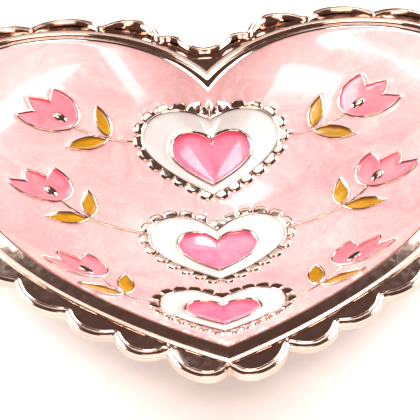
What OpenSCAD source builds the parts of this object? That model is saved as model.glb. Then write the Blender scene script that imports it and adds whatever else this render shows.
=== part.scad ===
// Heart-shaped trinket dish: a shallow cast metal bowl with a scalloped rim,
// a pearly enamel lining, three framed hearts down the middle and six tulip sprigs.
// Millimetres. Z is up, the notch of the heart is at +Y and its tip at -Y.
// The origin is under the middle of the dish, on the table.

/* [Size] */
// Width of the heart across the rim moulding
rim_width = 120; // [80:1:160]
// Height of the rim's crest above the table
crest_height = 17; // [14:0.5:24]
// Depth of the enamelled bowl below the crest
bowl_depth = 13; // [8:0.5:16]
// How quickly the bowl's wall steepens towards the rim
bowl_power = 1.65; // [1.2:0.05:3]
// Thickness of the cast wall
wall = 1.3; // [0.8:0.1:2.5]

/* [Heart outline] */
// Heading of the outline where it leaves the notch, in degrees from +X
notch_heading = 56; // [40:1:70]
// Radius and sweep of the inner side of a lobe, before scaling
lobe_arc = [38, 73];
// Radius and sweep of the shoulder of a lobe, before scaling
shoulder_arc = [23, 78];
// Radius and sweep of the upper flank, before scaling
flank_arc = [82, 45];
// Radius of the long curve down to the tip, before scaling
tip_radius = 142; // [90:1:300]
// Distance of the outline's notch ahead of the middle of the dish
notch_ahead = 32.85; // [20:0.05:45]

/* [Rim] */
// Width of the dark sloping band inside the moulding
band_width = 2.2; // [1:0.1:4]
// Fall of the band from the crest to the moulding
band_fall = 0.75; // [0.3:0.05:2]
// Width of the raised moulding
moulding_width = 1.2; // [1:0.1:3]
// Height of the moulding above the foot of the band
moulding_rise = 0.45; // [0.2:0.05:1.5]
// Length of each scallop from the notch to the tip, as a percentage of half of the rim
scallop_lengths = [8.9, 6.9, 7.8, 7.3, 7.3, 7.3, 7.3, 7.3, 7.3, 7.3, 7, 6, 5.8, 6.5];
// Reach of a scallop beyond the outline at its middle
scallop_reach = 5.5; // [3:0.1:7]
// Reach of the edge beyond the outline at a cusp
cusp_reach = 3.3; // [2:0.1:5]
// Reach of the cusp at the tip, close to the moulding
tip_reach = 1; // [0.9:0.1:3]
// Extra reach of the big scallops on either side of the notch
notch_swell = 2.1; // [0:0.1:3]
// Width of the bead along the scalloped edge
bead_width = 1.4; // [0.6:0.1:2.5]
// Fall of the flange's panels from the moulding to the bead
panel_fall = 0.7; // [0.1:0.1:1.2]
// Depth of the scalloped edge below the foot of the bead
edge_depth = 1.3; // [0.8:0.1:3]

/* [Enamel] */
// Thickness of the enamel lining
enamel = 0.5; // [0.3:0.1:1]
// Height of the metal lines above the lining
line_rise = 0.4; // [0.2:0.05:0.8]
// Height of the coloured fills above the lining
fill_rise = 0.28; // [0.1:0.02:0.6]
// Width of the thin metal lines
line_width = 0.42; // [0.3:0.02:0.8]

/* [Hearts] */
// Half-width of each framed heart, from back to front
frame_half = [14.5, 14, 12.4];
// Length of each framed heart from tip to lobes
frame_length = [20.8, 18.8, 15.8];
// Place of each framed heart's tip along the dish
frame_tip = [5.9, -18.7, -38.4];
// Half-width of the small heart in each frame
small_half = [8.5, 8.1, 7.4];
// Length of each small heart
small_length = [13.2, 11.8, 9.3];
// Place of each small heart's tip along the dish
small_tip = [8.4, -15.7, -35.4];
// Lobes of lace around half of a frame
lace_lobes = 13; // [8:1:20]
// Reach of the lace beyond the frame
lace_reach = 2; // [1:0.1:3]

/* [Sprigs] */
// Foot of each row's tulip, from back to front
tulip_foot = [[28.7, 21.8], [31.3, 1.3], [24.1, -20.6]];
// From a tulip's foot to the point of its middle petal
tulip_axis = [[9.7, 7.2], [7.5, 7.4], [8.1, 6]];
// From a tulip's axis to the point of its left petal
tulip_span = [[-3.8, 4], [-4.6, 2.6], [-4.3, 2.2]];
// Fork where each row's leaves grow
fork = [[21.2, 19.4], [25.5, -2.6], [18.8, -25.7]];
// Where each row's stem meets the lace
stem_end = [[16.4, 19.5], [15.7, -4.8], [14.2, -27.3]];
// From each fork to the point of its upper leaf
upper_leaf = [[2.8, 8.4], [0.7, 7.9], [0.1, 7.6]];
// From each fork to the point of its lower leaf
lower_leaf = [[9.1, -3.2], [9.2, -1.4], [9.6, 0.3]];
// Width of a leaf
leaf_width = 3.2; // [2:0.1:6]
// Width of a stem
stem_width = 0.5; // [0.3:0.05:1]

/* [Foot] */
// Size of the foot ring, as a share of the rim
foot_share = 0.34; // [0.2:0.02:0.6]
// Width of the foot ring
foot_width = 2.4; // [1.5:0.1:5]

/* [Hidden] */
rows = ["back", "middle", "front"];

metal = [0.86, 0.64, 0.55];
dark_metal = [0.45, 0.32, 0.28];
ground_pink = [1, 0.80, 0.80];
white = [1, 0.98, 0.96];
heart_pink = [1, 0.42, 0.55];
tulip_pink = [1, 0.55, 0.60];
leaf_gold = [0.80, 0.61, 0.12];

// ---- small helpers ----
function lerp(a, b, t) = a + (b - a) * t;
function smooth(t) = let(c = min(1, max(0, t))) c * c * (3 - 2 * c);
function turned(p, a) = [p[0] * cos(a) - p[1] * sin(a), p[0] * sin(a) + p[1] * cos(a)];
function placed(pts, at, a, k) = [for (p = pts) at + turned(p, a) * k];
function flipped(pts, side) = [for (p = pts) [p[0] * side, p[1]]];
function bezier(a, b, c, d, t) =
    a * pow(1 - t, 3) + b * 3 * t * pow(1 - t, 2) + c * 3 * t * t * (1 - t) + d * pow(t, 3);
function bezier_run(a, b, c, d, n) = [for (i = [0:n - 1]) bezier(a, b, c, d, i / n)];
function middle_of(pts) = [for (k = [0:1]) ([for (p = pts) 1] * [for (p = pts) p[k]]) / len(pts)];

// ---- the heart outline: four arcs from notch to tip, measured along and away from it ----
raw_radius = [lobe_arc[0], shoulder_arc[0], flank_arc[0], tip_radius];
sweep = [lobe_arc[1], shoulder_arc[1], flank_arc[1]];
heading = [notch_heading, notch_heading - sweep[0], notch_heading - sweep[0] - sweep[1],
    notch_heading - sweep[0] - sweep[1] - sweep[2]];
raw_half = raw_radius[0] * (sin(heading[0]) - sin(heading[1])) + raw_radius[1] * (sin(heading[1]) + 1);
radius = raw_radius * (rim_width / 2 / raw_half);
function arc_step(i) = radius[i] * [sin(heading[i]) - sin(heading[i + 1]), cos(heading[i + 1]) - cos(heading[i])];
arc_start = [[0, 0], arc_step(0), arc_step(0) + arc_step(1), arc_step(0) + arc_step(1) + arc_step(2)];
centre = [for (i = [0:3]) arc_start[i] + radius[i] * [sin(heading[i]), -cos(heading[i])]];
arc_len = [for (i = [0:2]) radius[i] * sweep[i] * PI / 180];
station = [0, arc_len[0], arc_len[0] + arc_len[1], arc_len[0] + arc_len[1] + arc_len[2]];
function arc_at(s) = s < station[1] ? 0 : s < station[2] ? 1 : s < station[3] ? 2 : 3;
function raw_point(s, d) =
    let(i = arc_at(s), h = heading[i] - (s - station[i]) / radius[i] * 180 / PI)
    centre[i] + (radius[i] + d) * [-sin(h), cos(h)];
function first_station(d) = (heading[0] - asin(centre[0][0] / (radius[0] + d))) * PI / 180 * radius[0];
function last_station(d) =
    station[3] + (heading[3] + 180 + asin(centre[3][0] / (radius[3] + d))) * PI / 180 * radius[3];
shift = [0, notch_ahead];
function rim_point(t, d) =
    let(p = raw_point(lerp(first_station(d), last_station(d), t), d) + shift)
    [(t == 0 || t == 1) ? 0 : p[0], p[1]];
function both_halves(half) =
    let(n = len(half) - 1) concat(half, [for (i = [n - 1:-1:1]) [-half[i][0], half[i][1]]]);
function rim_loop(d, n) = both_halves([for (i = [0:n]) rim_point(i / n, d)]);

// ---- heights: rim levels and the bowl's surface ----
crest_at = -moulding_width / 2 - band_width;
lip_at = crest_at - 0.45;
band_foot = crest_height - band_fall;
panel_height = band_foot - 0.15;
bowl_centre = [0, shift[1] - 41.5];
rim_half = [for (i = [90:-1:0]) rim_point(i / 90, lip_at) - bowl_centre];
round_reach = rim_width * 5 / 12;
reach_table = [for (p = rim_half) [atan2(p[1], p[0]), norm(p)]];
function reach(a) = lookup(atan2(sin(a), abs(cos(a))), reach_table);
function bowl_share(p) =
    let(v = p - bowl_centre, r = norm(v), e = reach(atan2(v[1], v[0])), q = r / e)
    r / (round_reach + (e - round_reach) * pow(q, 4));
function lining(p) = crest_height - 0.35 - (bowl_depth - 0.35) * (1 - pow(bowl_share(p), bowl_power));

// ---- solids made from rows of points ----
// A closed belt: each row is one ring of the same count, the last row joins the first
module belt(rings) {
    n = len(rings[0]);
    m = len(rings);
    points = [for (r = rings) each r];
    faces = [for (j = [0:m - 1], i = [0:n - 1])
        let(a = j * n, b = ((j + 1) % m) * n, k = (i + 1) % n)
        each [[a + i, a + k, b + i], [a + k, b + k, b + i]]];
    polyhedron(points, faces);
}
// A closed cushion: rings from a top middle point, over the edge, to a bottom middle point
module cushion(top, rings, bottom) {
    n = len(rings[0]);
    m = len(rings);
    points = concat([top], [for (r = rings) each r], [bottom]);
    last = m * n + 1;
    faces = concat(
        [for (i = [0:n - 1]) [0, 1 + (i + 1) % n, 1 + i]],
        [for (j = [0:m - 2], i = [0:n - 1])
            let(a = 1 + j * n, b = a + n, k = (i + 1) % n)
            each [[a + i, a + k, b + i], [a + k, b + k, b + i]]],
        [for (i = [0:n - 1]) [last, 1 + (m - 1) * n + i, 1 + (m - 1) * n + (i + 1) % n]]);
    polyhedron(points, faces);
}
function at_height(pts, z) = [for (p = pts) [p[0], p[1], z]];
function draped(pts, lift) = [for (p = pts) [p[0], p[1], lining(p) + lift]];
function shrunk(pts, c, k) = [for (p = pts) c + (p - c) * k];
// Points moved outwards from a closed clockwise outline, square to it
function grown(pts, d) =
    let(n = len(pts))
    [for (i = [0:n - 1])
        let(a = pts[(i + n - 1) % n], b = pts[(i + 1) % n], v = b - a, l = max(norm(v), 0.001))
        pts[i] + d * [-v[1], v[0]] / l];

// ---- the cast dish ----
module dish_shell() {
    n = 36;
    steps = [0.16, 0.32, 0.48, 0.64, 0.8, 0.92, 1];
    edge = rim_loop(lip_at, n);
    function under(k) = [for (p = edge) let(q = bowl_centre + (p - bowl_centre) * k) [q[0], q[1],
        lining(q) - enamel]];
    function below(k) = [for (p = under(k)) [p[0], p[1], p[2] - wall]];
    color(dark_metal)
        cushion([bowl_centre[0], bowl_centre[1], lining(bowl_centre) - enamel],
            concat([for (k = steps) under(k)],
                [at_height(rim_loop(crest_at, n), crest_height - 0.8),
                    at_height(rim_loop(0.4, n), panel_height - 0.7),
                    at_height(rim_loop(0.4, n), panel_height - 1.6),
                    at_height(rim_loop(-1.2, n), panel_height - 2.4)],
                [for (k = [len(steps) - 2:-1:0]) below(steps[k])]),
            [bowl_centre[0], bowl_centre[1], lining(bowl_centre) - enamel - wall]);
}

module foot_ring() {
    outer = shrunk(rim_loop(0, 30), bowl_centre, foot_share);
    inner = grown(outer, -foot_width);
    function under(pts) = [for (p = pts) [p[0], p[1], lining(p) - enamel - wall + 0.1]];
    color(metal) belt([at_height(inner, 0), at_height(outer, 0), under(outer), under(inner)]);
}

// ---- the rim ----
scallops = len(scallop_lengths);
function length_sum(k) = k <= 0 ? 0 : scallop_lengths[k - 1] + length_sum(k - 1);
cusp_share = [for (i = [0:scallops]) length_sum(i) / length_sum(scallops)];
// Height of a round arch over its chord, from 0 at the ends to 1 in the middle
function arch(u) = let(w = 2 * u - 1, r = 1.3) (sqrt(r * r - w * w) - sqrt(r * r - 1)) / (r - sqrt(r * r - 1));
per_scallop = 6;
function top_reach(t) = scallop_reach + notch_swell * exp(-pow((t - 0.115) / 0.05, 2));
function low_reach(t) = cusp_reach + notch_swell * 0.4 * exp(-pow((t - 0.0885) / 0.04, 2))
    - (cusp_reach - tip_reach) * smooth((t - 0.86) / 0.14);
// The first scallop is half an arch, so that the edge dips straight across the notch
function edge_reach(i, u) =
    let(t = lerp(cusp_share[i], cusp_share[i + 1], u))
    lerp(low_reach(t), i == 0 && u < 0.5 ? notch_reach(t) : top_reach(t), arch(i == 0 ? max(u, 0.5) : u));
function cut_back(edge, cut) = edge - cut * min(1, (edge - 0.6) / bead_width);
function notch_reach(t) = lerp(5.9, top_reach(t), smooth(t / cusp_share[1] * 2));
// A point of the scalloped rim. Shares are kept at any reach, but for the first and the last scallop,
// which meet their mirror images in the middle
function edge_point(t, d) =
    let(a = cusp_share[1], b = cusp_share[scallops - 1], whole = last_station(0),
        s = t < a ? lerp(first_station(d), a * whole, t / a)
            : t > b ? lerp(b * whole, last_station(d), (t - b) / (1 - b)) : t * whole,
        p = raw_point(s, d) + shift)
    [(t == 0 || t == 1) ? 0 : p[0], p[1]];
// One ring of the scalloped rim: cut is how far inside the scalloped edge it runs
function scallop_ring(cut, z) =
    let(half = concat(
        [for (i = [0:scallops - 1], k = [0:per_scallop - 1])
            let(u = k / per_scallop, t = lerp(cusp_share[i], cusp_share[i + 1], u))
            edge_point(t, cut_back(edge_reach(i, u), cut))],
        [edge_point(1, cut_back(tip_reach, cut))]))
    at_height(both_halves(half), z);
function plain_ring(d, z) =
    let(half = concat(
        [for (i = [0:scallops - 1], k = [0:per_scallop - 1])
            edge_point(lerp(cusp_share[i], cusp_share[i + 1], k / per_scallop), d)],
        [edge_point(1, d)]))
    at_height(both_halves(half), z);

bead_foot = panel_height - panel_fall;
bead_top = band_foot + moulding_rise - 0.25;
module scalloped_flange() {
    color(dark_metal)
        belt([plain_ring(0.1, panel_height), scallop_ring(bead_width - 0.3, bead_foot),
            scallop_ring(0, bead_foot), scallop_ring(0, bead_foot - edge_depth + 0.4),
            scallop_ring(0.5, bead_foot - edge_depth), plain_ring(0.1, bead_foot - edge_depth + 0.3)]);
}

module scallop_bead() {
    color(metal)
        belt([scallop_ring(bead_width, bead_foot - 0.05), scallop_ring(bead_width - 0.05, bead_top - 0.15),
            scallop_ring(bead_width - 0.25, bead_top), scallop_ring(bead_width - 0.8, bead_top),
            scallop_ring(0.1, bead_top - 0.4), scallop_ring(0.02, bead_foot + 0.2),
            scallop_ring(0.6, bead_foot - 0.1)]);
}

module rim_moulding() {
    half = moulding_width / 2;
    top = band_foot + moulding_rise;
    n = 54;
    color(metal)
        belt([at_height(rim_loop(-half, n), band_foot - 0.1), at_height(rim_loop(-half, n), top - 0.12),
            at_height(rim_loop(-half + 0.15, n), top), at_height(rim_loop(half - 0.15, n), top),
            at_height(rim_loop(half, n), top - 0.12), at_height(rim_loop(half, n), panel_height - 0.1),
            at_height(rim_loop(0.3, n), panel_height - 0.7)]);
}

module rim_band() {
    n = 54;
    color(dark_metal)
        belt([at_height(rim_loop(lip_at, n), crest_height - 0.75),
            at_height(rim_loop(crest_at - 0.15, n), crest_height - 0.1),
            at_height(rim_loop(crest_at + 0.1, n), crest_height),
            at_height(rim_loop(-moulding_width / 2, n), band_foot),
            at_height(rim_loop(-moulding_width / 2, n), band_foot - 0.4),
            at_height(rim_loop(crest_at, n), crest_height - 0.8)]);
}

// ---- the enamel lining ----
module ground_enamel() {
    n = 45;
    steps = [0.12, 0.25, 0.38, 0.5, 0.62, 0.74, 0.86, 0.94, 1];
    edge = rim_loop(lip_at - 0.02, n);
    function layer(k, drop) = [for (p = edge)
        let(q = bowl_centre + (p - bowl_centre) * k) [q[0], q[1], lining(q) - drop]];
    function point(drop) = [bowl_centre[0], bowl_centre[1], lining(bowl_centre) - drop];
    color(ground_pink)
        cushion(point(0), concat([for (k = steps) layer(k, 0)],
            [for (k = [len(steps) - 1:-2:0]) layer(steps[k], enamel - 0.02)]), point(enamel - 0.02));
}

// ---- hearts ----
// Right half of a heart of half-width 1 and length 1, from its notch to its tip at the origin
heart_half = concat(
    bezier_run([0, 0.8], [0.12, 0.9], [0.3, 1], [0.54, 1], 7),
    bezier_run([0.54, 1], [0.8, 1], [1, 0.87], [1, 0.67], 7),
    bezier_run([1, 0.67], [1, 0.42], [0.48, 0.21], [0, 0], 11),
    [[0, 0]]);
function heart(half_width, length, tip) =
    both_halves([for (p = heart_half) [p[0] * half_width, p[1] * length + tip]]);
function frame_outline(row) = heart(frame_half[row], frame_length[row], frame_tip[row]);
function small_outline(row) = heart(small_half[row], small_length[row], small_tip[row]);
function small_middle(row) = [0, small_tip[row] + small_length[row] * 0.55];
// A thin raised line with a flat top, drawn between an outline grown by a and by b
module line_belt(outline, a, b) {
    mid = (a + b) / 2;
    belt([draped(grown(outline, a), -0.1), draped(grown(outline, lerp(a, mid, 0.4)), line_rise),
        draped(grown(outline, lerp(b, mid, 0.4)), line_rise), draped(grown(outline, b), -0.1)]);
}
// Points along a closed outline at equal steps
function run_length(pts, i) = i <= 0 ? 0 : norm(pts[i % len(pts)] - pts[i - 1]) + run_length(pts, i - 1);
function along(pts, table, s) =
    [lookup(s, [for (i = [0:len(pts)]) [table[i], pts[i % len(pts)][0]]]),
        lookup(s, [for (i = [0:len(pts)]) [table[i], pts[i % len(pts)][1]]])];
function even_outline(pts, n) =
    let(table = [for (i = [0:len(pts)]) run_length(pts, i)], total = table[len(pts)])
    [for (i = [0:n - 1]) along(pts, table, total * i / n)];

module lace_frame(row) {
    per = 4;
    count = 2 * lace_lobes * per;
    base = even_outline(frame_outline(row), count);
    out = grown(base, 1);
    function lobed(extra) = [for (i = [0:count - 1])
        let(u = (i % per) / per) base[i] + (out[i] - base[i]) * (line_width + extra * sqrt(sin(180 * u)))];
    color(metal)
        belt([draped(base, -0.1), draped(grown(base, 0.12), line_rise),
            draped(lobed(lace_reach * 0.9), line_rise * 0.75), draped(lobed(lace_reach), -0.1)]);
}

module heart_bezel(row) {
    color(metal) line_belt(small_outline(row), -line_width / 2, line_width / 2);
}

module white_enamel(row) {
    n = 48;
    outer = even_outline(frame_outline(row), n);
    inner = grown(even_outline(small_outline(row), n), line_width / 2);
    function mix(k) = [for (i = [0:n - 1]) lerp(inner[i], outer[i], k)];
    color(white)
        belt([draped(mix(0.02), -0.1), draped(mix(0.02), fill_rise), draped(mix(0.35), fill_rise - 0.04),
            draped(mix(0.7), fill_rise - 0.04), draped(mix(0.98), fill_rise), draped(mix(0.98), -0.1)]);
}

// A coloured fill inside an outline, a little lower in the middle
module fill(outline, c, drop) {
    inside = grown(outline, -line_width / 2 - 0.02);
    half_way = shrunk(inside, c, 0.55);
    cushion([c[0], c[1], lining(c) + fill_rise - drop],
        [draped(half_way, fill_rise - drop), draped(inside, fill_rise), draped(inside, -0.1),
            draped(half_way, -0.1)],
        [c[0], c[1], lining(c) - 0.1]);
}

module heart_enamel(row) {
    color(heart_pink) fill(small_outline(row), small_middle(row), 0.05);
}

// ---- sprigs ----
// Half of a tulip, from its foot at the origin to its middle point at [1, 0]
tulip_side = concat(
    bezier_run([0, 0], [0.02, 0.72], [0.42, 1.32], [0.84, 1], 9),
    [[0.84, 1], [0.69, 0.42], [1, 0]]);
tulip_unit = concat(tulip_side, [for (i = [len(tulip_side) - 2:-1:1]) [tulip_side[i][0], -tulip_side[i][1]]]);
// A pointed leaf from near the origin to [1, 0], clockwise
leaf_unit = concat(
    bezier_run([0.07, 0], [0.28, 0.66], [0.7, 0.66], [1, 0], 7),
    bezier_run([1, 0], [0.7, -0.66], [0.28, -0.66], [0.07, 0], 7));
function sided(pts, side) = side > 0 ? pts : [for (i = [len(pts) - 1:-1:0]) [-pts[i][0], pts[i][1]]];
function tulip(row, side) =
    sided([for (p = tulip_unit) tulip_foot[row] + tulip_axis[row] * p[0] + tulip_span[row] * p[1]], side);
function leaf(at, along_it, side) =
    let(across = [-along_it[1], along_it[0]] / norm(along_it) * leaf_width)
    sided([for (p = leaf_unit) at + along_it * p[0] + across * p[1]], side);
function leaves(row, side) = [leaf(fork[row], upper_leaf[row], side), leaf(fork[row], lower_leaf[row], side)];
function stem_point(row, t) =
    let(a = tulip_foot[row], b = fork[row], c = stem_end[row], m = b * 2 - (a + c) / 2)
    a * (1 - t) * (1 - t) + m * 2 * t * (1 - t) + c * t * t;
function stem_edge(row, t, d) =
    let(v = stem_point(row, t + 0.02) - stem_point(row, t - 0.02))
    stem_point(row, t) + [-v[1], v[0]] / norm(v) * d;
stem_steps = 8;

module stem(row, side) {
    n = stem_steps;
    steps = [for (i = [0:n]) lerp(0.03, 1, i / n)];
    outline = concat([for (t = steps) stem_edge(row, t, -stem_width / 2)],
        [for (i = [n:-1:0]) stem_edge(row, steps[i], stem_width / 2)]);
    pts = sided(outline, side);
    m = len(pts);
    points = concat(draped(pts, line_rise - 0.05), draped(pts, -0.1));
    color(metal) polyhedron(points, concat(
        [for (i = [0:n - 1]) each [[i, m - 1 - i, i + 1], [i + 1, m - 1 - i, m - 2 - i]]],
        [for (i = [0:n - 1]) each [[m + i, m + i + 1, 2 * m - 1 - i], [m + i + 1, 2 * m - 2 - i, 2 * m - 1 - i]]],
        [for (i = [0:m - 1]) let(k = (i + 1) % m) each [[i, k, m + k], [i, m + k, m + i]]]));
}

module tulip_line(row, side) {
    color(metal) line_belt(tulip(row, side), -line_width / 2, line_width / 2);
}

module leaf_line(row, side) {
    color(metal)
        for (outline = leaves(row, side)) line_belt(outline, -line_width / 2, line_width / 2);
}

module tulip_enamel(row, side) {
    c = tulip_foot[row] + tulip_axis[row] * 0.45;
    color(tulip_pink) fill(tulip(row, side), [c[0] * side, c[1]], 0.04);
}

module leaf_enamel(row, side) {
    color(leaf_gold)
        for (outline = leaves(row, side)) fill(outline, middle_of(outline), 0.03);
}

module tulip_stud(row, side) {
    axis = tulip_axis[row];
    turn = atan2(axis[1], axis[0]);
    c = tulip_foot[row] + axis * 0.3;
    pts = sided([for (i = [0:15]) c + turned([cos(-22.5 * i) * 1.25, sin(-22.5 * i) * 0.8], turn)], side);
    mid = [c[0] * side, c[1]];
    color(metal)
        cushion([mid[0], mid[1], lining(mid) + 0.75],
            [draped(shrunk(pts, mid, 0.6), 0.65), draped(pts, 0.35), draped(pts, -0.05)],
            [mid[0], mid[1], lining(mid) - 0.05]);
}

dish_shell();
foot_ring();
scalloped_flange();
scallop_bead();
rim_moulding();
rim_band();
ground_enamel();
for (r = [0:2]) {
    lace_frame(r);
    heart_bezel(r);
    white_enamel(r);
    heart_enamel(r);
    for (side = [["left", -1], ["right", 1]]) {
        tag = str(side[0], "_", rows[r]);
        tulip_line(r, side[1]);
        leaf_line(r, side[1]);
        stem(r, side[1]);
        tulip_enamel(r, side[1]);
        leaf_enamel(r, side[1]);
        tulip_stud(r, side[1]);
    }
}
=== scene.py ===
"""Looks of the heart-shaped trinket dish: polished rose-gold casting with enamel fills.

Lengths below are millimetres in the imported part's frame; mesh_piece() turns them into metres.
"""
import math

import bmesh
import bpy
import numpy as np
from mathutils import Matrix, Vector


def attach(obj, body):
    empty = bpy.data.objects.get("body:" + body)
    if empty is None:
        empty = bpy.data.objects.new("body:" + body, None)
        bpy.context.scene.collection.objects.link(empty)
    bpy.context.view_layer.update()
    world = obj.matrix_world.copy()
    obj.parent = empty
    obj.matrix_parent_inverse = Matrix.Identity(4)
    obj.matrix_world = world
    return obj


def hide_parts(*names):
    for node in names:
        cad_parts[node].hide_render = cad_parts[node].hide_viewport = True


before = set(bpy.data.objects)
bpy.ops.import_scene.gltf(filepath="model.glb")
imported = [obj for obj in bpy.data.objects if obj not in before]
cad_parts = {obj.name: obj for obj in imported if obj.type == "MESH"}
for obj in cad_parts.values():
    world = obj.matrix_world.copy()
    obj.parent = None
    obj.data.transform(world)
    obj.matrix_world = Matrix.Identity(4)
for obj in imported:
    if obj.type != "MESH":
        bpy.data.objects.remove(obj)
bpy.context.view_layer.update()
MM = 0.001
BODY = "root"
ROWS = ("back", "middle", "front")
SIDES = (("left", -1), ("right", 1))

# ---------------------------------------------------------------- sizes, as the CAD part has them
# Heights of the rim's crest and of the bowl under it
CREST = 17.0
BOWL_DEPTH = 13.0
BOWL_POWER = 1.65
WALL = 1.3
ENAMEL = 0.5
# The heart outline: half its width, its heading at the notch, and (radius, sweep) of its arcs
RIM_HALF = 60.0
HEADING = 56.0
ARCS = ((38.0, 73.0), (23.0, 78.0), (82.0, 45.0), (142.0, None))
NOTCH_AHEAD = 32.85
# The rim from the enamel outwards: band, moulding, panels and bead
BAND_WIDTH = 2.2
BAND_FALL = 0.75
MOULDING = 1.2
MOULDING_RISE = 0.45
# Shares of the scallops from notch to tip, and how far the edge reaches past the outline. The edge is
# kept a little inside the CAD part's.
SCALLOPS = (8.9, 6.9, 7.8, 7.3, 7.3, 7.3, 7.3, 7.3, 7.3, 7.3, 7.0, 6.0, 5.8, 6.5)
REACH = 5.42
CUSP = 3.25
TIP_CUSP = 1.0
NOTCH_SWELL = 2.1
NOTCH_REACH = 4.9
NOTCH_RADIUS = 3.6
SCALLOP_ROUND = 1.3
CUSP_SOFTNESS = 0.12
BEAD = 1.4
PANEL_SLOPE = 0.28
# The raised lines and the pools of enamel between them
LINE_RISE = 0.42
FILL_RISE = 0.26
LINE = 0.46
BEZEL = 0.62
BURIED = -0.1
# Places across the rim, out from the outline, and heights that follow from the sizes above
CREST_AT = -MOULDING / 2 - BAND_WIDTH
LIP_AT = CREST_AT - 0.45
BAND_FOOT = CREST - BAND_FALL
MOULDING_TOP = BAND_FOOT + MOULDING_RISE
PANEL_Z = BAND_FOOT - 0.15
BEAD_FOOT = PANEL_Z - 0.7
BEAD_TOP = MOULDING_TOP - 0.25

# The hearts, back to front: half width, length and tip of the frames and of the small hearts
FRAME_HALF = (14.5, 14.0, 12.4)
FRAME_LENGTH = (20.8, 18.8, 15.8)
FRAME_TIP = (5.9, -18.7, -38.4)
SMALL_HALF = (8.5, 8.1, 7.4)
SMALL_LENGTH = (13.2, 11.8, 9.3)
SMALL_TIP = (8.4, -15.7, -35.4)
LACE_LOBES = 13
LACE_REACH = 2.0

# The right sprigs, back to front
TULIP_FOOT = ((28.7, 21.8), (31.3, 1.3), (24.1, -20.6))
TULIP_AXIS = ((9.7, 7.2), (7.5, 7.4), (8.1, 6.0))
TULIP_SPAN = ((-3.8, 4.0), (-4.6, 2.6), (-4.3, 2.2))
FORK = ((21.2, 19.4), (25.5, -2.6), (18.8, -25.7))
STEM_END = ((16.4, 19.5), (15.7, -4.8), (14.2, -27.3))
UPPER_LEAF = ((2.8, 8.4), (0.7, 7.9), (0.1, 7.6))
LOWER_LEAF = ((9.1, -3.2), (9.2, -1.4), (9.6, 0.3))
LEAF_WIDTH = 3.2
STEM_WIDTH = 0.5
STEM_RISE = 0.36
STUD_HALF = (1.6, 1.0)
STUD_RISE = 0.56
FOOT_SHARE = 0.34
FOOT_WIDTH = 2.4
# The camera: degrees, millimetres, and the lens for a sensor 36 mm wide
VIEW_ELEVATION = 42.0
VIEW_AZIMUTH = -1.74
VIEW_ROLL = -1.65
VIEW_DISTANCE = 437.9
VIEW_TARGET = (-1.5, -10.74, MOULDING_TOP)
SENSOR = 36.0
LENS = SENSOR * 110 / 21


# ---------------------------------------------------------------- the heart outline of the dish
class Outline:
    """The right half of the dish's outline: four arcs from the notch to the tip."""

    def __init__(self):
        heads = [HEADING]
        for _, sweep in ARCS[:3]:
            heads.append(heads[-1] - sweep)
        h = np.radians(heads)
        raw = np.array([a[0] for a in ARCS])
        half = raw[0] * (math.sin(h[0]) - math.sin(h[1])) + raw[1] * (math.sin(h[1]) + 1)
        self.r = raw * RIM_HALF / half
        self.h = h
        start = np.zeros((4, 2))
        self.s0 = np.zeros(4)
        for i in range(3):
            step = (math.sin(h[i]) - math.sin(h[i + 1]), math.cos(h[i + 1]) - math.cos(h[i]))
            start[i + 1] = start[i] + self.r[i] * np.array(step)
            self.s0[i + 1] = self.s0[i] + self.r[i] * (h[i] - h[i + 1])
        self.c = start + self.r[:, None] * np.stack([np.sin(h), -np.cos(h)], 1)

    def first(self, d):
        """Where, along the outline, the curve d outside it leaves the middle at the notch."""
        return (self.h[0] - np.arcsin(self.c[0, 0] / (self.r[0] + d))) * self.r[0]

    def last(self, d):
        """Where the curve d outside the outline meets the middle at the tip."""
        return self.s0[3] + (self.h[3] + math.pi + np.arcsin(self.c[3, 0] / (self.r[3] + d))) * self.r[3]

    def point(self, s, d, in_middle):
        """Points s along the outline and d outside it; those in the middle have x = 0."""
        i = np.clip(np.searchsorted(self.s0, s, side="right") - 1, 0, 3)
        h = self.h[i] - (s - self.s0[i]) / self.r[i]
        p = self.c[i] + ((self.r[i] + d) * np.stack([-np.sin(h), np.cos(h)])).T
        p[:, 1] += NOTCH_AHEAD
        p[in_middle, 0] = 0
        return p

    def at(self, t, d):
        """Points at shares t of the way from notch to tip, d outside the outline."""
        s = self.first(d) + (self.last(d) - self.first(d)) * t
        return self.point(s, d, (t <= 0) | (t >= 1))

    def on_rim(self, t, d):
        """Points of the scalloped rim: shares hold at any reach, but for the first and last scallop."""
        a, b, whole = CUSPS[1], CUSPS[-2], self.last(0)
        s = t * whole
        s = np.where(t < a, self.first(d) + (a * whole - self.first(d)) * t / a, s)
        s = np.where(t > b, b * whole + (self.last(d) - b * whole) * (t - b) / (1 - b), s)
        return self.point(s, d, (t <= 0) | (t >= 1))


CUSPS = np.concatenate([[0], np.cumsum(SCALLOPS)]) / sum(SCALLOPS)


def both_halves(half):
    """A closed clockwise loop from the right half, notch to tip."""
    left = half[-2:0:-1] * np.array([-1.0, 1.0])
    return np.concatenate([half, left])


OUT = Outline()
BOWL_CENTRE = np.array([0.0, NOTCH_AHEAD - 41.5])
LIP = OUT.at(np.linspace(1, 0, 400), LIP_AT) - BOWL_CENTRE
LIP_ANGLE = np.arctan2(LIP[:, 1], LIP[:, 0])
LIP_REACH = np.hypot(LIP[:, 0], LIP[:, 1])
LIP_DROP = 0.35
ROUND_REACH = RIM_HALF * 5 / 6


def lining(p):
    """Height of the enamel lining at points p: round in the middle, heart-shaped at the lip."""
    v = p - BOWL_CENTRE
    r = np.hypot(v[:, 0], v[:, 1])
    edge = np.interp(np.arctan2(v[:, 1], np.abs(v[:, 0])), LIP_ANGLE, LIP_REACH)
    q = r / edge
    share = r / (ROUND_REACH + (edge - ROUND_REACH) * q ** 4)
    return CREST - LIP_DROP - (BOWL_DEPTH - LIP_DROP) * (1 - share ** BOWL_POWER)


def rim_loop(d, n):
    return both_halves(OUT.at(np.linspace(0, 1, n + 1), d))


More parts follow.
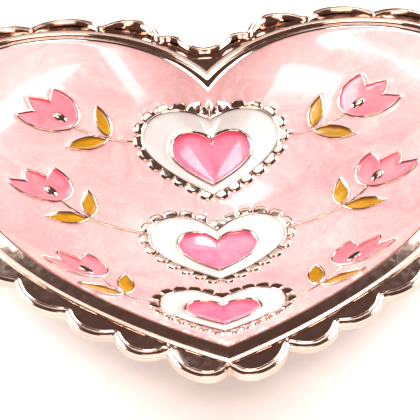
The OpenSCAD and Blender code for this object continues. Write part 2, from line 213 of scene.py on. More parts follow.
# ---------------------------------------------------------------- mesh helpers
def at_height(pts, z):
    return np.column_stack([pts, np.broadcast_to(z, len(pts))])


def draped(pts, lift):
    return np.column_stack([pts, lining(pts) + lift])


def mesh_piece(name, verts, faces, material, slot, nodes, smooth_angle=50.0, attributes=None):
    """A closed mesh piece, given in millimetres, that stands for some CAD nodes."""
    me = bpy.data.meshes.new(name)
    me.from_pydata((np.asarray(verts, float) * MM).tolist(), [], faces)
    for key, values in (attributes or {}).items():
        layer = me.attributes.new(key, "FLOAT", "POINT")
        layer.data.foreach_set("value", np.asarray(values, np.float32))
    bm = bmesh.new()
    bm.from_mesh(me)
    bmesh.ops.recalc_face_normals(bm, faces=bm.faces)
    bm.to_mesh(me)
    bm.free()
    me.polygons.foreach_set("use_smooth", [True] * len(me.polygons))
    me.set_sharp_from_angle(angle=math.radians(smooth_angle))
    me.materials.append(material)
    ob = bpy.data.objects.new(name, me)
    bpy.context.scene.collection.objects.link(ob)
    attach(ob, BODY)
    if nodes:
        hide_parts(*nodes)
    return ob


def belt_faces(rows, n, first=0, closed=True):
    """Quads between rows of n points; a closed belt also joins its last row to its first."""
    faces = []
    for j in range(rows if closed else rows - 1):
        a, b = first + j * n, first + ((j + 1) % rows) * n
        faces += [(a + i, a + (i + 1) % n, b + (i + 1) % n, b + i) for i in range(n)]
    return faces


def cushion_mesh(top, rings, bottom):
    """A closed form from a top point over rings to a bottom point."""
    n, m = len(rings[0]), len(rings)
    verts = np.concatenate([[top]] + list(rings) + [[bottom]])
    last = m * n + 1
    faces = [(0, 1 + i, 1 + (i + 1) % n) for i in range(n)]
    faces += belt_faces(m, n, 1, closed=False)
    faces += [(last, 1 + (m - 1) * n + (i + 1) % n, 1 + (m - 1) * n + i) for i in range(n)]
    return verts, faces


def normals_of(pts):
    """Unit normals of a closed clockwise loop, pointing outwards."""
    v = np.roll(pts, -1, 0) - np.roll(pts, 1, 0)
    v /= np.maximum(np.hypot(v[:, 0], v[:, 1]), 1e-9)[:, None]
    return np.column_stack([-v[:, 1], v[:, 0]])


def grown(pts, d):
    return pts + normals_of(pts) * (d if np.isscalar(d) else np.asarray(d)[:, None])


def smoothed(pts, spread):
    """A closed loop with its corners rounded over about `spread` points."""
    n = len(pts)
    f = np.fft.fft(pts[:, 0] + 1j * pts[:, 1])
    k = np.fft.fftfreq(n) * 2 * np.pi
    z = np.fft.ifft(f * np.exp(-0.5 * (k * spread) ** 2))
    return np.column_stack([z.real, z.imag])


def even(pts, n):
    """A closed loop drawn again with n points at equal steps."""
    ring = np.vstack([pts, pts[:1]])
    s = np.concatenate([[0], np.cumsum(np.hypot(*np.diff(ring, axis=0).T))])
    at = np.linspace(0, s[-1], n, endpoint=False)
    return np.column_stack([np.interp(at, s, ring[:, 0]), np.interp(at, s, ring[:, 1])])


def bezier(points, n):
    t = np.linspace(0, 1, n, endpoint=False)[:, None]
    a, b, c, d = np.array(points, float)
    return a * (1 - t) ** 3 + 3 * b * t * (1 - t) ** 2 + 3 * c * t * t * (1 - t) + d * t ** 3


# ---------------------------------------------------------------- materials
def srgb(r, g, b):
    """A colour from 0-255 screen values."""
    out = [c / 12.92 if c <= 0.04045 else ((c + 0.055) / 1.055) ** 2.4 for c in (r / 255, g / 255, b / 255)]
    return (*out, 1.0)


class Nodes:
    """A small helper that adds and joins shader nodes."""

    def __init__(self, name):
        self.mat = bpy.data.materials.new(name)
        self.mat.use_nodes = True
        self.tree = self.mat.node_tree
        self.bsdf = self.tree.nodes["Principled BSDF"]
        self.coords = self.add("ShaderNodeTexCoord").outputs["Object"]

    def add(self, kind, **inputs):
        node = self.tree.nodes.new(kind)
        for key, value in inputs.items():
            if key in node.inputs:
                node.inputs[key].default_value = value
        return node

    def link(self, a, b):
        self.tree.links.new(a, b)

    def noise(self, scale, detail=2.0, rough=0.5, vector=None, distortion=0.0):
        node = self.add("ShaderNodeTexNoise", Scale=scale, Detail=detail, Roughness=rough,
                        Distortion=distortion)
        self.link(vector if vector is not None else self.coords, node.inputs["Vector"])
        return node

    def ramp(self, fac, stops):
        node = self.add("ShaderNodeValToRGB")
        elements = node.color_ramp.elements
        elements[0].position, elements[0].color = stops[0]
        elements[1].position, elements[1].color = stops[-1]
        for position, colour in stops[1:-1]:
            element = elements.new(position)
            element.color = colour
        self.link(fac, node.inputs["Fac"])
        return node.outputs["Color"]

    def grey(self, fac, low, high, start, end):
        node = self.add("ShaderNodeMapRange")
        for key, value in (("From Min", start), ("From Max", end), ("To Min", low), ("To Max", high)):
            node.inputs[key].default_value = value
        self.link(fac, node.inputs["Value"])
        return node.outputs["Result"]

    def mix(self, fac, a, b):
        node = self.add("ShaderNodeMix")
        node.data_type = "RGBA"
        for socket, value in ((node.inputs[0], fac), (node.inputs[6], a), (node.inputs[7], b)):
            if hasattr(value, "is_output"):
                self.link(value, socket)
            else:
                socket.default_value = value
        return node.outputs[2]

    def attribute(self, name):
        node = self.add("ShaderNodeAttribute")
        node.attribute_name = name
        return node.outputs["Fac"]

    def bump(self, height, strength, distance):
        node = self.add("ShaderNodeBump", Strength=strength, Distance=distance)
        self.link(height, node.inputs["Height"])
        self.link(node.outputs["Normal"], self.bsdf.inputs["Normal"])

    def set(self, **values):
        for key, value in values.items():
            self.bsdf.inputs[key.replace("_", " ")].default_value = value


def rose_metal():
    """Polished rose-gold plate with faint casting waves and slightly uneven polish."""
    n = Nodes("rose_metal")
    tone = n.noise(90.0, 3.0, 0.6)
    n.link(n.ramp(tone.outputs["Fac"], [(0.3, srgb(232, 204, 190)), (0.7, srgb(244, 220, 206))]),
           n.bsdf.inputs["Base Color"])
    wear = n.noise(700.0, 4.0, 0.65)
    n.link(n.grey(wear.outputs["Fac"], 0.07, 0.16, 0.35, 0.75), n.bsdf.inputs["Roughness"])
    wave = n.noise(260.0, 2.0, 0.5)
    n.bump(wave.outputs["Fac"], 0.02, 0.0003)
    n.set(Metallic=1.0)
    return n.mat


def ground_material():
    """Pale pink pearl enamel with soft swirled veins."""
    n = Nodes("ground_enamel")
    warp = n.noise(38.0, 3.0, 0.55)
    shifted = n.add("ShaderNodeVectorMath")
    shifted.operation = "MULTIPLY_ADD"
    n.link(warp.outputs["Color"], shifted.inputs[0])
    shifted.inputs[1].default_value = (0.05, 0.05, 0.02)
    n.link(n.coords, shifted.inputs[2])
    swirl = n.noise(62.0, 5.0, 0.6, shifted.outputs[0], 1.6)
    base = n.ramp(swirl.outputs["Fac"], [(0.28, srgb(228, 160, 164)), (0.45, srgb(234, 176, 176)),
                                         (0.58, srgb(236, 186, 184)), (0.76, srgb(240, 204, 196))])
    veins = n.noise(150.0, 3.0, 0.5, shifted.outputs[0], 2.5)
    line = n.ramp(veins.outputs["Fac"],
                  [(0.46, (0, 0, 0, 1)), (0.5, (0.38, 0.38, 0.38, 1)), (0.54, (0, 0, 0, 1))])
    n.link(n.mix(line, base, srgb(244, 216, 208)), n.bsdf.inputs["Base Color"])
    n.set(Roughness=0.2, Coat_Weight=1.0, Coat_Roughness=0.07, Specular_IOR_Level=0.4)
    soft = n.noise(120.0, 2.0, 0.5)
    n.bump(soft.outputs["Fac"], 0.05, 0.0004)
    return n.mat


def fill_material(name, painted_shade_colour, middle, light):
    """Enamel that goes to the darker first colour where the attribute 'shade' is high: painted shade,
    standing in for the depth of a translucent enamel.
    """
    n = Nodes(name)
    cloud = n.noise(170.0, 4.0, 0.6, distortion=1.2)
    body = n.ramp(cloud.outputs["Fac"], [(0.35, middle), (0.65, light)])
    # The 'shade' attribute mixes painted shade into the enamel's colour along its edges.
    n.link(n.mix(n.attribute("shade"), body, painted_shade_colour), n.bsdf.inputs["Base Color"])
    n.set(Roughness=0.15, Coat_Weight=1.0, Coat_Roughness=0.03)
    ripple = n.noise(300.0, 2.0, 0.5)
    n.bump(ripple.outputs["Fac"], 0.05, 0.0003)
    return n.mat


METAL = rose_metal()
GROUND = ground_material()
# The first colour of each enamel is its painted shade colour, used where the 'shade' attribute paints shade.
WHITE = fill_material("white_enamel", srgb(172, 150, 144), srgb(226, 219, 215), srgb(234, 229, 225))
HEART = fill_material("heart_enamel", srgb(232, 56, 90), srgb(244, 108, 142), srgb(252, 140, 164))
TULIP = fill_material("tulip_enamel", srgb(226, 62, 84), srgb(246, 122, 136), srgb(252, 150, 160))
LEAF = fill_material("leaf_enamel", srgb(120, 66, 8), srgb(184, 126, 16), srgb(214, 156, 26))


# ---------------------------------------------------------------- rim
def smooth(t):
    c = np.clip(t, 0, 1)
    return c * c * (3 - 2 * c)


def top_reach(t):
    return REACH + NOTCH_SWELL * np.exp(-((t - 0.115) / 0.05) ** 2)


def low_reach(t):
    return (CUSP + NOTCH_SWELL * 0.4 * np.exp(-((t - 0.0885) / 0.04) ** 2)
            - (CUSP - TIP_CUSP) * smooth((t - 0.86) / 0.14))


def scalloped_edge():
    """The scalloped outer edge, with each point's share of the way to the tip and its reach.

    The first scallop is half an arch, so that the edge dips straight across the notch.
    """
    u = np.arange(60) / 60
    r, spring = SCALLOP_ROUND, math.sqrt(SCALLOP_ROUND ** 2 - 1)
    t, reach = [], []
    for k in range(len(SCALLOPS)):
        share = CUSPS[k] + (CUSPS[k + 1] - CUSPS[k]) * u
        half_length = (CUSPS[k + 1] - CUSPS[k]) * OUT.last(0) / 2
        to_cusp = (1 - np.abs(2 * np.maximum(u, 0.5 if k == 0 else 0) - 1)) * half_length
        w = 1 - np.clip(np.hypot(to_cusp, CUSP_SOFTNESS) / half_length, 0, 1)
        arch = (np.sqrt(r * r - w * w) - spring) / (r - spring)
        top = top_reach(share)
        if k == 0:
            top = np.where(u < 0.5, NOTCH_REACH + (top - NOTCH_REACH) * smooth(2 * u), top)
        t.append(share)
        reach.append(low_reach(share) + (top - low_reach(share)) * arch)
    t = np.append(np.concatenate(t), 1.0)
    reach = np.append(np.concatenate(reach), TIP_CUSP)
    half = notch_rounded(OUT.on_rim(t, reach), NOTCH_RADIUS)
    both = np.column_stack([t, reach])
    return both_halves(half), np.concatenate([both, both[-2:0:-1]])


def notch_rounded(half, radius):
    """The start of a right half, at x = 0, replaced by a round dip of the given radius."""
    step = np.diff(half, axis=0)
    heading = np.arctan2(step[:, 1], step[:, 0])
    gap = half[:-1, 0] - radius * np.sin(heading)
    k = int(np.argmax(gap > 0))
    h = heading[k]
    centre = half[k, 1] + radius * math.cos(h)
    a = np.linspace(0, h, k + 1)
    arc = np.column_stack([radius * np.sin(a), centre - radius * np.cos(a)])
    return np.concatenate([arc, half[k + 1:]])


def metal_belt(name, rings, nodes, smooth_angle):
    """A closed belt of metal through rings of points."""
    mesh_piece(name, np.concatenate(rings), belt_faces(len(rings), len(rings[0])), METAL, "rose_metal",
               nodes, smooth_angle)


def rim_profile(name, profile, nodes):
    """A closed section swept along the heart outline: profile is (offset, height) pairs."""
    metal_belt(name, [at_height(rim_loop(d, 420), z) for d, z in profile], nodes, 38.0)


def build_band_and_moulding():
    half = MOULDING / 2
    rim_profile("rim_band_looks", [
        (LIP_AT, CREST - 0.85), (LIP_AT, CREST - 0.4), (CREST_AT - 0.3, CREST - 0.2),
        (CREST_AT, CREST - 0.01), (CREST_AT + 0.7, CREST - 0.27), (CREST_AT + 1.4, CREST - 0.51),
        (-half, BAND_FOOT), (-half, BAND_FOOT - 0.4), (CREST_AT, CREST - 0.9)], ["rim_band"])
    top = MOULDING_TOP
    rim_profile("rim_moulding_looks", [
        (-half, BAND_FOOT - 0.1), (-half, top - 0.2), (-half + 0.04, top - 0.1), (-half + 0.11, top - 0.03),
        (-half + 0.2, top - 0.004), (-half + 0.3, top), (half - 0.3, top), (half - 0.2, top - 0.004),
        (half - 0.11, top - 0.03), (half - 0.04, top - 0.1), (half, top - 0.2), (half, PANEL_Z - 0.1),
        (0.3, PANEL_Z - 0.7)], ["rim_moulding"])


class ScallopedRim:
    """The scalloped edge at even steps, and the rings that run inside it."""

    def __init__(self, count=2600):
        edge, table = scalloped_edge()
        ring = np.vstack([edge, edge[:1]])
        s = np.concatenate([[0], np.cumsum(np.hypot(*np.diff(ring, axis=0).T))])
        at = np.linspace(0, s[-1], count, endpoint=False)
        self.left = at > s[-1] / 2
        self.share, self.reach = (np.interp(at, s, np.append(column, column[0])) for column in table.T)
        self.outer = smoothed(np.column_stack([np.interp(at, s, ring[:, k]) for k in (0, 1)]), 1.8)
        normal = smoothed(normals_of(self.outer), 4.0)
        # The bead narrows where its edge comes close to the moulding
        self.narrowed = np.minimum(1, (self.reach - MOULDING / 2) / BEAD)
        self.inwards = -normal / np.hypot(*normal.T)[:, None] * self.narrowed[:, None]

    def inset(self, d):
        """The ring d inside the scalloped edge."""
        return self.outer + self.inwards * d

    def beside(self, d):
        """The ring d outside the heart outline, point by point opposite the edge."""
        p = OUT.on_rim(self.share, d)
        p[self.left, 0] *= -1
        return p


def build_bead(rim):
    """Two thin ridges with a shallow groove between them, and a slope out to the side."""
    top, foot = BEAD_TOP, BEAD_FOOT
    profile = [
        (1.44, foot - 0.05), (1.42, top - 0.34), (1.39, top - 0.12), (1.34, top - 0.03), (1.28, top),
        (1.21, top - 0.03), (1.13, top - 0.12), (1.02, top - 0.17), (0.86, top - 0.17), (0.76, top - 0.12),
        (0.69, top - 0.03), (0.62, top), (0.55, top - 0.03), (0.45, top - 0.08), (0.12, top - 0.24),
        (0.05, top - 0.3), (0.02, top - 0.42), (0.02, foot - 0.06), (0.6, foot - 0.15)]
    metal_belt("scallop_bead_looks", [at_height(rim.inset(d), z) for d, z in profile], ["scallop_bead"], 50)


def build_flange(rim):
    """Panels that all slope alike from the moulding to the bead, over a rounded side."""
    inner, under, panel = rim.beside(0.1), rim.beside(MOULDING / 2), rim.inset(BEAD - 0.05)
    width = np.maximum(rim.reach - BEAD * rim.narrowed - MOULDING / 2, 0)
    rings = [at_height(inner, PANEL_Z), at_height(under, PANEL_Z - 0.01)]
    for k in (0.05, 0.95, 1.0):
        rings.append(at_height(under + (panel - under) * k, PANEL_Z - 0.02 - PANEL_SLOPE * width * k))
    side = [(BEAD - 0.5, 0.1), (0.3, 0.1), (0.02, 0.12), (0, 0.3), (0, 0.8), (0.06, 1.02), (0.22, 1.2),
            (0.5, 1.29), (1.1, 1.3)]
    rings += [at_height(rim.inset(d), BEAD_FOOT - drop) for d, drop in side]
    rings.append(at_height(inner, BEAD_FOOT - 1.0))
    metal_belt("scalloped_flange_looks", rings, ["scalloped_flange"], 50)


# ---------------------------------------------------------------- bowl, lining and foot
def scaled_rings(edge, shares):
    return [BOWL_CENTRE + (edge - BOWL_CENTRE) * k for k in shares]


def build_shell():
    n = 180
    edge = rim_loop(LIP_AT, n)
    shares = np.linspace(0.04, 1, 34)
    inner = [draped(r, -ENAMEL) for r in scaled_rings(edge, shares)]
    outer = [draped(r, -ENAMEL - WALL) for r in scaled_rings(edge, shares[:-1])]
    rim = [at_height(rim_loop(CREST_AT, n), CREST - 0.9), at_height(rim_loop(0.3, n), PANEL_Z - 0.75),
           at_height(rim_loop(0.35, n), PANEL_Z - 1.7), at_height(rim_loop(-0.6, n), PANEL_Z - 2.1),
           at_height(rim_loop(-1.8, n), PANEL_Z - 2.5)]
    middle = draped(BOWL_CENTRE[None], -ENAMEL)[0]
    verts, faces = cushion_mesh(middle, inner + rim + outer[::-1], middle - [0, 0, WALL])
    mesh_piece("dish_shell_looks", verts, faces, METAL, "rose_metal", ["dish_shell"], 50)


def build_foot():
    """The ring under the bowl, with rounded feet and its top buried in the casting."""
    outline = smoothed(even(scaled_rings(rim_loop(0, 180), [FOOT_SHARE])[0], 720), 5)
    rings = []
    for inset, low in ((0.15, 0.0), (0.0, 0.18), (0.0, None), (FOOT_WIDTH, None), (FOOT_WIDTH, 0.18),
                       (FOOT_WIDTH - 0.15, 0.0)):
        ring = grown(outline, -inset)
        rings.append(draped(ring, -ENAMEL - WALL + 0.15) if low is None else at_height(ring, low))
    metal_belt("foot_ring_looks", rings, ["foot_ring"], 50)


def frame_outline(row, n=640):
    return even(heart_loop(FRAME_HALF[row], FRAME_LENGTH[row], FRAME_TIP[row]), n)


def small_outline(row, n=480):
    return even(heart_loop(SMALL_HALF[row], SMALL_LENGTH[row], SMALL_TIP[row]), n)


def heart_loop(half_width, length, tip):
    half = np.concatenate([
        bezier([(0, 0.8), (0.12, 0.9), (0.3, 1), (0.54, 1)], 60),
        bezier([(0.54, 1), (0.8, 1), (1, 0.87), (1, 0.67)], 60),
        bezier([(1, 0.67), (1, 0.42), (0.48, 0.21), (0, 0)], 90),
        [[0, 0]]])
    return both_halves(half * [half_width, length] + [0, tip])


def tulip_outline(row, side):
    half = np.concatenate([
        bezier([(0, 0), (0.02, 0.72), (0.42, 1.32), (0.84, 1)], 60),
        bezier([(0.84, 1), (0.8, 0.8), (0.74, 0.6), (0.69, 0.42)], 16),
        bezier([(0.69, 0.42), (0.78, 0.34), (0.9, 0.2), (1, 0)], 20), [[1, 0]]])
    unit = np.concatenate([half, half[-2:0:-1] * [1, -1]])
    pts = np.array(TULIP_FOOT[row]) + unit[:, :1] * TULIP_AXIS[row] + unit[:, 1:] * TULIP_SPAN[row]
    return smoothed(even(sided(pts, side), 420), 2.2)


def leaf_outline(row, side, upper):
    unit = np.concatenate([bezier([(0.07, 0), (0.28, 0.66), (0.7, 0.66), (1, 0)], 50),
                           bezier([(1, 0), (0.7, -0.66), (0.28, -0.66), (0.07, 0)], 50)])
    axis = np.array((UPPER_LEAF if upper else LOWER_LEAF)[row])
    across = np.array([-axis[1], axis[0]]) / np.hypot(*axis) * LEAF_WIDTH
    pts = np.array(FORK[row]) + unit[:, :1] * axis + unit[:, 1:] * across
    return smoothed(even(sided(pts, side), 240), 1.2)


def sided(pts, side):
    return pts if side > 0 else pts[::-1] * [-1, 1]


def motif_outlines():
    """Every outer outline that the lining meets, with how far its metal reaches."""
    for row in range(3):
        yield lace_edge(row, 6)[0]
        for _, side in SIDES:
            yield grown(tulip_outline(row, side), LINE / 2)
            for upper in (True, False):
                yield grown(leaf_outline(row, side, upper), LINE / 2)
            yield stem_loop(row, side)


def distance_to(points, loops):
    """Distance from each point to the nearest of some closed loops."""
    best = np.full(len(points), 9.0)
    for loop in loops:
        low, high = loop.min(0) - 1.0, loop.max(0) + 1.0
        near = np.where(((points > low) & (points < high)).all(1))[0]
        for start in range(0, len(near), 4000):
            part = near[start:start + 4000]
            gap = points[part][:, None] - loop[None]
            best[part] = np.minimum(best[part], np.sqrt((gap ** 2).sum(2).min(1)))
    return best


def build_lining():
    """The pale enamel; it creeps up a little along every metal line and at the rim."""
    edge = rim_loop(LIP_AT - 0.02, 300)
    shares = np.linspace(0.01, 1, 170) ** 0.9
    flat = np.concatenate(scaled_rings(edge, shares))
    gap = distance_to(flat, [loop[::2] for loop in motif_outlines()])
    rim_gap = np.repeat((1 - shares) * 50, len(edge))
    top = draped(flat, 0.14 * np.exp(-gap / 0.28) + 0.2 * np.exp(-rim_gap / 0.5))
    under = [draped(r, -ENAMEL + 0.03) for r in scaled_rings(edge, np.linspace(1, 0.05, 12))]
    middle = draped(BOWL_CENTRE[None], 0)[0]
    rings = list(top.reshape(len(shares), len(edge), 3)) + under
    verts, faces = cushion_mesh(middle, rings, middle - [0, 0, ENAMEL - 0.03])
    mesh_piece("ground_enamel_looks", verts, faces, GROUND, "ground_enamel", ["ground_enamel"], 70)


# ---------------------------------------------------------------- hearts
def line_mesh(outline, width, rise):
    """A raised line with a rounded top along a closed outline."""
    profile = [(-0.5, 0.55), (-0.36, 0.86), (-0.16, 1), (0.16, 1), (0.36, 0.86), (0.5, 0.55)]
    rings = [draped(grown(outline, x * width), z * rise) for x, z in profile]
    edges = [draped(grown(outline, x * width), BURIED) for x in (-0.5, 0.5)]
    rings = [edges[0], *rings, edges[1]]
    return np.concatenate(rings), belt_faces(len(rings), len(outline))


def lace_edge(row, per):
    """The lobed outer edge of the lace, its base loop and how far out each point lies, 0 to 1."""
    count = 2 * LACE_LOBES * per
    base = even(frame_outline(row), count)
    u = (np.arange(count) % per) / per
    lobe = np.sqrt(1 - np.abs(2 * u - 1) ** 3)
    return grown(base, LINE / 2 + (LACE_REACH - 0.15) * lobe), base, lobe


def build_lace(row):
    outer, base, lobe = lace_edge(row, 14)
    start = grown(base, LINE / 2 - 0.05)
    rings = [draped(start, BURIED)]
    for v in np.linspace(0, 1, 8):
        lift = 0.06 + 0.32 * math.sqrt(1 - v ** 4) * (0.55 + 0.45 * lobe)
        rings.append(draped(start + (outer - start) * v, lift))
    rings.append(draped(outer, BURIED))
    metal_belt("lace_lobes_" + ROWS[row], rings, ["lace_frame_" + ROWS[row]], 80)
    verts, faces = line_mesh(frame_outline(row), LINE, LINE_RISE)
    mesh_piece("lace_line_" + ROWS[row], verts, faces, METAL, "rose_metal", [], 70)
    verts, faces = line_mesh(small_outline(row), BEZEL, LINE_RISE + 0.06)
    mesh_piece("heart_bezel_looks_" + ROWS[row], verts, faces, METAL, "rose_metal",
               ["heart_bezel_" + ROWS[row]], 70)


def build_white(row):
    """The white field: higher along the metal, with painted shade along the metal and a painted shadow beside
    the small heart's left side.
    """
    n = 560
    outer = grown(frame_outline(row, n), -LINE / 2 + 0.04)
    inner = grown(small_outline(row, n), LINE / 2 - 0.04)
    shares = np.concatenate([[0], np.linspace(0.02, 0.2, 5), np.linspace(0.3, 0.7, 6),
                             np.linspace(0.8, 0.98, 5), [1]])
    rings, shade = [draped(inner, BURIED)], [np.zeros(n)]
    # Where the painted shadow of the small heart's bezel falls: beside its edges that face left and down.
    bezel_shadow_side = np.clip(normals_of(inner) @ (-0.95, -0.3), 0, 1)
    for k in shares:
        p = inner + (outer - inner) * k
        to_edge = np.minimum(np.hypot(*(p - inner).T), np.hypot(*(outer - p).T))
        creep = 0.1 * np.exp(-to_edge / 0.3)
        rings.append(draped(p, FILL_RISE - 0.04 + creep))
        beside = np.exp(-np.hypot(*(p - inner).T) / 1.3) * bezel_shadow_side
        # The 'shade' attribute holds painted shade along both metal edges and the painted bezel shadow.
        shade.append(np.clip(0.8 * np.exp(-to_edge / 0.22) + 0.75 * beside, 0, 1))
    rings.append(draped(outer, BURIED))
    shade.append(np.zeros(n))
    mesh_piece("white_enamel_looks_" + ROWS[row], np.concatenate(rings), belt_faces(len(rings), n), WHITE,
               "white_enamel", ["white_enamel_" + ROWS[row]], 70, {"shade": np.concatenate(shade)})


def fill_mesh(outline, centre, dish, shaded_side, reach):
    """A pool of enamel in an outline: lower in the middle, with painted shade along the edges that face
    shaded_side.
    """
    inside = grown(outline, -LINE / 2 + 0.04)
    # How much painted shade each edge point gets, by how far its edge faces shaded_side.
    facing = np.clip(normals_of(outline) @ np.array(shaded_side), -0.2, 1) * 0.8 + 0.2
    shares = np.concatenate([np.linspace(0.06, 0.7, 9), np.linspace(0.75, 0.99, 11), [1.0]])
    rings, shade = [], []
    for k in shares:
        p = centre + (inside - centre) * k
        to_edge = np.hypot(*(inside - p).T)
        rings.append(draped(p, FILL_RISE - dish + (dish + 0.08) * np.exp(-to_edge / 0.35)))
        # Painted shade: strongest at the edges facing shaded_side, fading inwards over about reach.
        shade.append(np.clip(facing, 0, 1) * np.exp(-(to_edge / reach) ** 2))
    rings += [draped(inside, BURIED), draped(centre + (inside - centre) * 0.5, BURIED)]
    shade += [np.zeros(len(inside))] * 2
    top = draped(np.array([centre]), FILL_RISE - dish)[0]
    bottom = draped(np.array([centre]), BURIED)[0]
    verts, faces = cushion_mesh(top, rings, bottom)
    return verts, faces, np.concatenate([[0], np.concatenate(shade), [0]])


def build_small_heart(row):
    centre = np.array([0.0, SMALL_TIP[row] + SMALL_LENGTH[row] * 0.58])
    # Painted shade along the small heart's back edges, fading over 1.5 mm.
    verts, faces, shade = fill_mesh(small_outline(row), centre, 0.1, (0.0, 1.0), 1.5)
    mesh_piece("heart_enamel_looks_" + ROWS[row], verts, faces, HEART, "heart_enamel",
               ["heart_enamel_" + ROWS[row]], 70, {"shade": shade})


# ---------------------------------------------------------------- sprigs
def joined(parts):
    verts, faces, offset = [], [], 0
    for v, f in parts:
        verts.append(v)
        faces += [tuple(i + offset for i in face) for face in f]
        offset += len(v)
    return np.concatenate(verts), faces


def stem_line(row, side):
    """The middle line of a stem, from the tulip's foot through the fork to its end, and its normals."""
    a, b, c = (np.array(p) for p in (TULIP_FOOT[row], FORK[row], STEM_END[row]))
    m = b * 2 - (a + c) / 2
    t = np.linspace(0.02, 1.0, 60)[:, None]
    p = (a * (1 - t) ** 2 + m * 2 * t * (1 - t) + c * t * t) * [side, 1]
    v = np.gradient(p, axis=0)
    v /= np.hypot(v[:, 0], v[:, 1])[:, None]
    return p, np.column_stack([-v[:, 1], v[:, 0]])


def stem_loop(row, side):
    p, across = stem_line(row, side)
    q = across * STEM_WIDTH / 2
    return np.concatenate([p + q, (p - q)[::-1]])


def stem_mesh(row, side):
    p, across = stem_line(row, side)
    profile = [(-0.46, 0.5), (-0.25, 0.9), (0, 1), (0.25, 0.9), (0.46, 0.5)]
    rows = [draped(p + across * x * STEM_WIDTH, z * STEM_RISE) for x, z in profile]
    edges = [draped(p + across * x * STEM_WIDTH, BURIED) for x in (-0.5, 0.5)]
    rows = [edges[0], *rows, edges[1]]
    n, m = len(p), len(rows)
    faces = [(j * n + i, j * n + i + 1, ((j + 1) % m) * n + i + 1, ((j + 1) % m) * n + i)
             for j in range(m) for i in range(n - 1)]
    faces += [tuple(j * n for j in range(m)), tuple(j * n + n - 1 for j in range(m))]
    return np.concatenate(rows), faces


def stud_mesh(middle, turn):
    """A low oval dome whose long axis is turned from +X by an angle."""
    a = -np.arange(48) / 48 * 2 * np.pi
    oval = np.column_stack([np.cos(a), np.sin(a)]) * STUD_HALF @ np.array(
        [[math.cos(turn), math.sin(turn)], [-math.sin(turn), math.cos(turn)]])
    rise = 0.26
    rings = [draped(middle + oval * math.sin(k), STUD_RISE - rise + rise * math.cos(k))
             for k in np.linspace(0.15, 1.55, 9)]
    rings.append(draped(middle + oval, -0.05))
    return cushion_mesh(draped(middle[None], STUD_RISE)[0], rings, draped(middle[None], -0.05)[0])


def build_sprig(row, side_name, side):
    tag = f"{side_name}_{ROWS[row]}"
    tulip = tulip_outline(row, side)
    leaves = [leaf_outline(row, side, upper) for upper in (True, False)]
    mesh_piece("tulip_line_looks_" + tag, *line_mesh(tulip, LINE, LINE_RISE), METAL, "rose_metal",
               ["tulip_line_" + tag], 70)
    verts, faces = joined([line_mesh(leaf, LINE * 0.9, LINE_RISE) for leaf in leaves])
    mesh_piece("leaf_line_looks_" + tag, verts, faces, METAL, "rose_metal", ["leaf_line_" + tag], 70)
    mesh_piece("stem_looks_" + tag, *stem_mesh(row, side), METAL, "rose_metal", ["stem_" + tag], 70)

    axis = np.array(TULIP_AXIS[row]) * [side, 1]
    foot = np.array(TULIP_FOOT[row]) * [side, 1]
    # Painted shade along the tulip's back edges.
    verts, faces, shade = fill_mesh(tulip, foot + axis * 0.47, 0.08, (0.0, 1.0), 0.9)
    mesh_piece("tulip_enamel_looks_" + tag, verts, faces, TULIP, "tulip_enamel", ["tulip_enamel_" + tag], 70,
               {"shade": shade})
    # Painted shade along the leaves' back and right edges.
    parts = [fill_mesh(leaf, leaf.mean(0), 0.06, (0.3, 1.0), 0.7) for leaf in leaves]
    verts, faces = joined([p[:2] for p in parts])
    mesh_piece("leaf_enamel_looks_" + tag, verts, faces, LEAF, "leaf_enamel", ["leaf_enamel_" + tag], 70,
               {"shade": np.concatenate([p[2] for p in parts])})

    verts, faces = stud_mesh(foot + axis * 0.3, math.atan2(axis[1], axis[0]))
    mesh_piece("tulip_stud_looks_" + tag, verts, faces, METAL, "rose_metal", ["tulip_stud_" + tag], 80)


# ---------------------------------------------------------------- camera, floor and light
def look_at(ob, place, target, roll=0.0):
    place, target = Vector(place), Vector(target)
    forward = (target - place).normalized()
    right = forward.cross(Vector((0, 0, 1))).normalized()
    up = right.cross(forward)
    c, s = math.cos(roll), math.sin(roll)
    x, y = right * c + up * s, up * c - right * s
    rot = Matrix((x, y, -forward)).transposed().to_4x4()
    ob.matrix_world = Matrix.Translation(place) @ rot


def build_camera():
    elevation, azimuth = math.radians(VIEW_ELEVATION), math.radians(VIEW_AZIMUTH)
    target = np.array(VIEW_TARGET)
    back = np.array([math.sin(azimuth) * math.cos(elevation), -math.cos(azimuth) * math.cos(elevation),
                     math.sin(elevation)])
    data = bpy.data.cameras.new("camera")
    data.sensor_width = SENSOR
    data.lens = LENS
    data.clip_start = 0.01
    cam = bpy.data.objects.new("camera", data)
    bpy.context.scene.collection.objects.link(cam)
    look_at(cam, (target + back * VIEW_DISTANCE) * MM, target * MM, math.radians(VIEW_ROLL))
    bpy.context.scene.camera = cam


def soft_box(name, place, target, width, height, radiance, colour=(1, 1, 1), turn=0.0):
    """A soft lamp in metres: its place, what it faces, its size and the radiance of its face."""
    data = bpy.data.lights.new(name, "AREA")
    data.shape = "RECTANGLE"
    data.size, data.size_y = width, height
    data.energy = radiance * math.pi * width * height
    data.color = colour
    ob = bpy.data.objects.new(name, data)
    bpy.context.scene.collection.objects.link(ob)
    look_at(ob, place, target, turn)


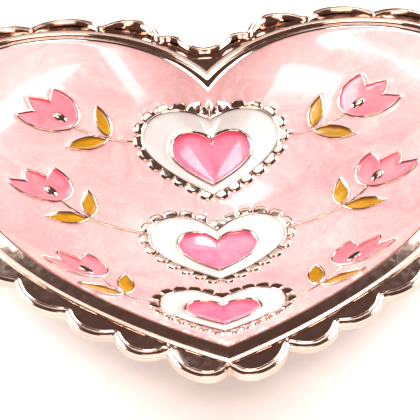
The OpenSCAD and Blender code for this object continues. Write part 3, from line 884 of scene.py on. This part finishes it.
def build_floor():
    n = Nodes("floor_white")
    n.link(n.ramp(n.noise(3.0).outputs["Fac"], [(0.3, (0.9, 0.895, 0.89, 1)), (0.7, (0.92, 0.915, 0.91, 1))]),
           n.bsdf.inputs["Base Color"])
    n.set(Roughness=0.6, Emission_Color=(1.0, 0.98, 0.97, 1.0), Emission_Strength=0.25)
    me = bpy.data.meshes.new("floor")
    s = 3.0
    me.from_pydata([(-s, -s, 0), (s, -s, 0), (s, s, 0), (-s, s, 0)], [], [(0, 1, 2, 3)])
    me.materials.append(n.mat)
    floor = bpy.data.objects.new("floor", me)
    bpy.context.scene.collection.objects.link(floor)


def build_lights():
    """Two small lamps seen in the enamel, cards seen in the metal, and large fills out of sight."""
    centre = (0, 0, 0.01)
    soft_box("soft_top", (-0.026, 0.357, 0.75), centre, 0.085, 0.23, 6.0, turn=0.57)
    soft_box("veil", (-0.09, 0.3, 0.8), centre, 0.19, 0.27, 1.2)
    soft_box("soft_rear", (0.08, 0.63, 0.75), centre, 0.09, 0.15, 8.0)
    soft_box("card_back", (0.0, 1.0, 0.78), centre, 0.7, 0.26, 0.75, (1.0, 0.94, 0.9))
    soft_box("card_high", (0.0, 0.86, 0.92), centre, 0.7, 0.17, 1.3, (1.0, 0.95, 0.9))
    soft_box("fill_left", (-0.8, 0.4, 0.62), centre, 0.7, 0.6, 10.0)
    soft_box("fill_right", (0.8, 0.4, 0.62), centre, 0.7, 0.6, 10.0)
    soft_box("fill_front", (0.0, -0.65, 0.95), centre, 0.7, 0.3, 7.0, (1.0, 0.84, 0.78))
    world = bpy.data.worlds.new("studio")
    world.use_nodes = True
    background = world.node_tree.nodes["Background"]
    background.inputs["Color"].default_value = (1.0, 0.6, 0.52, 1)
    background.inputs["Strength"].default_value = 0.1
    bpy.context.scene.world = world
    bpy.context.scene.view_settings.view_transform = "Standard"


build_camera()
build_floor()
build_lights()
build_shell()
build_foot()
build_band_and_moulding()
scalloped_rim = ScallopedRim()
build_bead(scalloped_rim)
build_flange(scalloped_rim)
build_lining()
for row in range(3):
    build_lace(row)
    build_white(row)
    build_small_heart(row)
    for side_name, side in SIDES:
        build_sprig(row, side_name, side)
